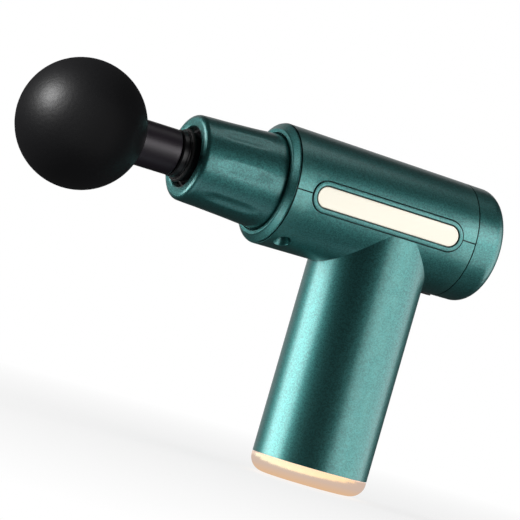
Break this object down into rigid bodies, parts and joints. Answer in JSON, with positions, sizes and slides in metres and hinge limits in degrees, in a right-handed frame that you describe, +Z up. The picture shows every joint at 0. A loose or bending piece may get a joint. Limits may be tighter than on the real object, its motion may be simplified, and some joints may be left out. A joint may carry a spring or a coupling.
{
  "type": "massage gun",
  "caption": "Hand-held massage gun: round teal barrel over a round handle, fluted nose, plug-in black foam ball head, crank-driven plunger, ivory side strips and champagne base cap.",
  "frame": {"origin": "centre of the handle's flat base", "axes": "+Z up the handle, -X along the barrel towards the massage head, +Y to the user's right"},
  "size_m": [0.191, 0.0466, 0.1246],
  "materials": {
    "teal_paint": "satin metallic teal paint with fine flake over moulded plastic",
    "ivory": "smooth ivory insert, softly glossy",
    "champagne": "champagne gold metallic lacquer",
    "black_foam": "dense black foam with a fine closed-cell grain",
    "black_plastic": "black moulded plastic, satin",
    "dark_plastic": "dark grey glass-filled nylon",
    "white_plastic": "natural white moulded plastic",
    "clear_plastic": "clear light guide",
    "black_rubber": "matt black rubber",
    "steel": "bright plated steel",
    "nickel": "nickel plate",
    "laminated_steel": "dull steel",
    "zinc": "die-cast zinc",
    "aluminium": "bead-blasted aluminium",
    "brass": "bare brass",
    "bush_bronze": "oil-filled sintered bronze",
    "copper_wire": "enamelled copper wire",
    "battery_sleeve": "blue plastic sleeve over a steel can",
    "circuit_board": "green solder mask",
    "lead_sleeve": "silicone wire sleeve"
  },
  "bodies": {
    "housing": {"upper_shell": "teal_paint", "lower_shell": "teal_paint", "front_ring": "teal_paint", "nose_sleeve": "teal_paint", "mouth_bush": "black_plastic", "rear_cap": "teal_paint", "screw_plug": "black_rubber", "rear_cap_screw": "steel", "shell_screws": "steel", "left_bezel": "teal_paint", "right_bezel": "teal_paint", "left_strip": "ivory", "right_strip": "ivory", "bottom_cap": "champagne", "usb_socket": "steel", "charge_board": "circuit_board", "charge_board_screws": "steel", "battery_cells": "battery_sleeve", "cell_holder_bottom": "white_plastic", "cell_holder_top": "white_plastic", "cell_links": "nickel", "motor_bracket": "aluminium", "rubber_mounts": "black_rubber", "bracket_screws": "steel", "guide_cylinder": "dark_plastic", "guide_screws": "steel", "guide_bushes": "bush_bronze", "motor_base": "aluminium", "motor_screws": "steel", "motor_stator": "laminated_steel", "motor_windings": "copper_wire", "bearing_outer_races": "steel", "tact_switch": "black_plastic", "led_light_guide": "clear_plastic", "control_board": "circuit_board", "board_parts": "black_plastic", "board_screws": "steel", "leads": "lead_sleeve"},
    "rotor": {"rotor_bell": "laminated_steel", "rotor_magnets": "nickel", "motor_shaft": "steel", "bearing_inner_races": "steel", "eccentric_wheel": "zinc", "eccentric_set_screw": "steel"},
    "bearing_cage": {"bearing_balls": "steel", "bearing_cages": "brass"},
    "plunger": {"plunger": "black_plastic", "wiper_ring": "black_rubber", "wrist_pin": "steel", "socket_liner": "white_plastic", "socket_damper": "black_rubber"},
    "rod": {"con_rod": "aluminium", "big_end_bearing": "steel", "crank_pin": "steel"},
    "head": {"massage_ball": "black_foam", "ball_core": "dark_plastic", "head_stem": "black_plastic", "stem_o_rings": "black_rubber"},
    "button": {"power_button": "teal_paint", "switch_plunger": "black_plastic"}
  },
  "joints": [
    {"name": "motor_spin", "type": "hinge", "parent": "housing", "child": "rotor", "pos_m": [0, 0, 0.1013], "axis": [0, 0, 1], "continuous": true},
    {"name": "cage_spin", "type": "hinge", "parent": "housing", "child": "bearing_cage", "pos_m": [0, 0, 0.1013], "axis": [0, 0, 1], "continuous": true},
    {"name": "plunger_stroke", "type": "slide", "parent": "housing", "child": "plunger", "axis": [-1, 0, 0], "range_m": [0, 0.008]},
    {"name": "rod_swing", "type": "hinge", "parent": "plunger", "child": "rod", "pos_m": [-0.028, 0, 0.1013], "axis": [0, 0, 1], "range_deg": [-7.2, 7.2]},
    {"name": "head_pull", "type": "slide", "parent": "plunger", "child": "head", "axis": [-1, 0, 0], "range_m": [0, 0.025]},
    {"name": "button_press", "type": "slide", "parent": "housing", "child": "button", "axis": [-1, 0, 0], "range_m": [0, 0.0005]}
  ],
  "couplings": [
    {"joint": "cage_spin", "follows": "motor_spin", "ratio": 0.4091}
  ]
}
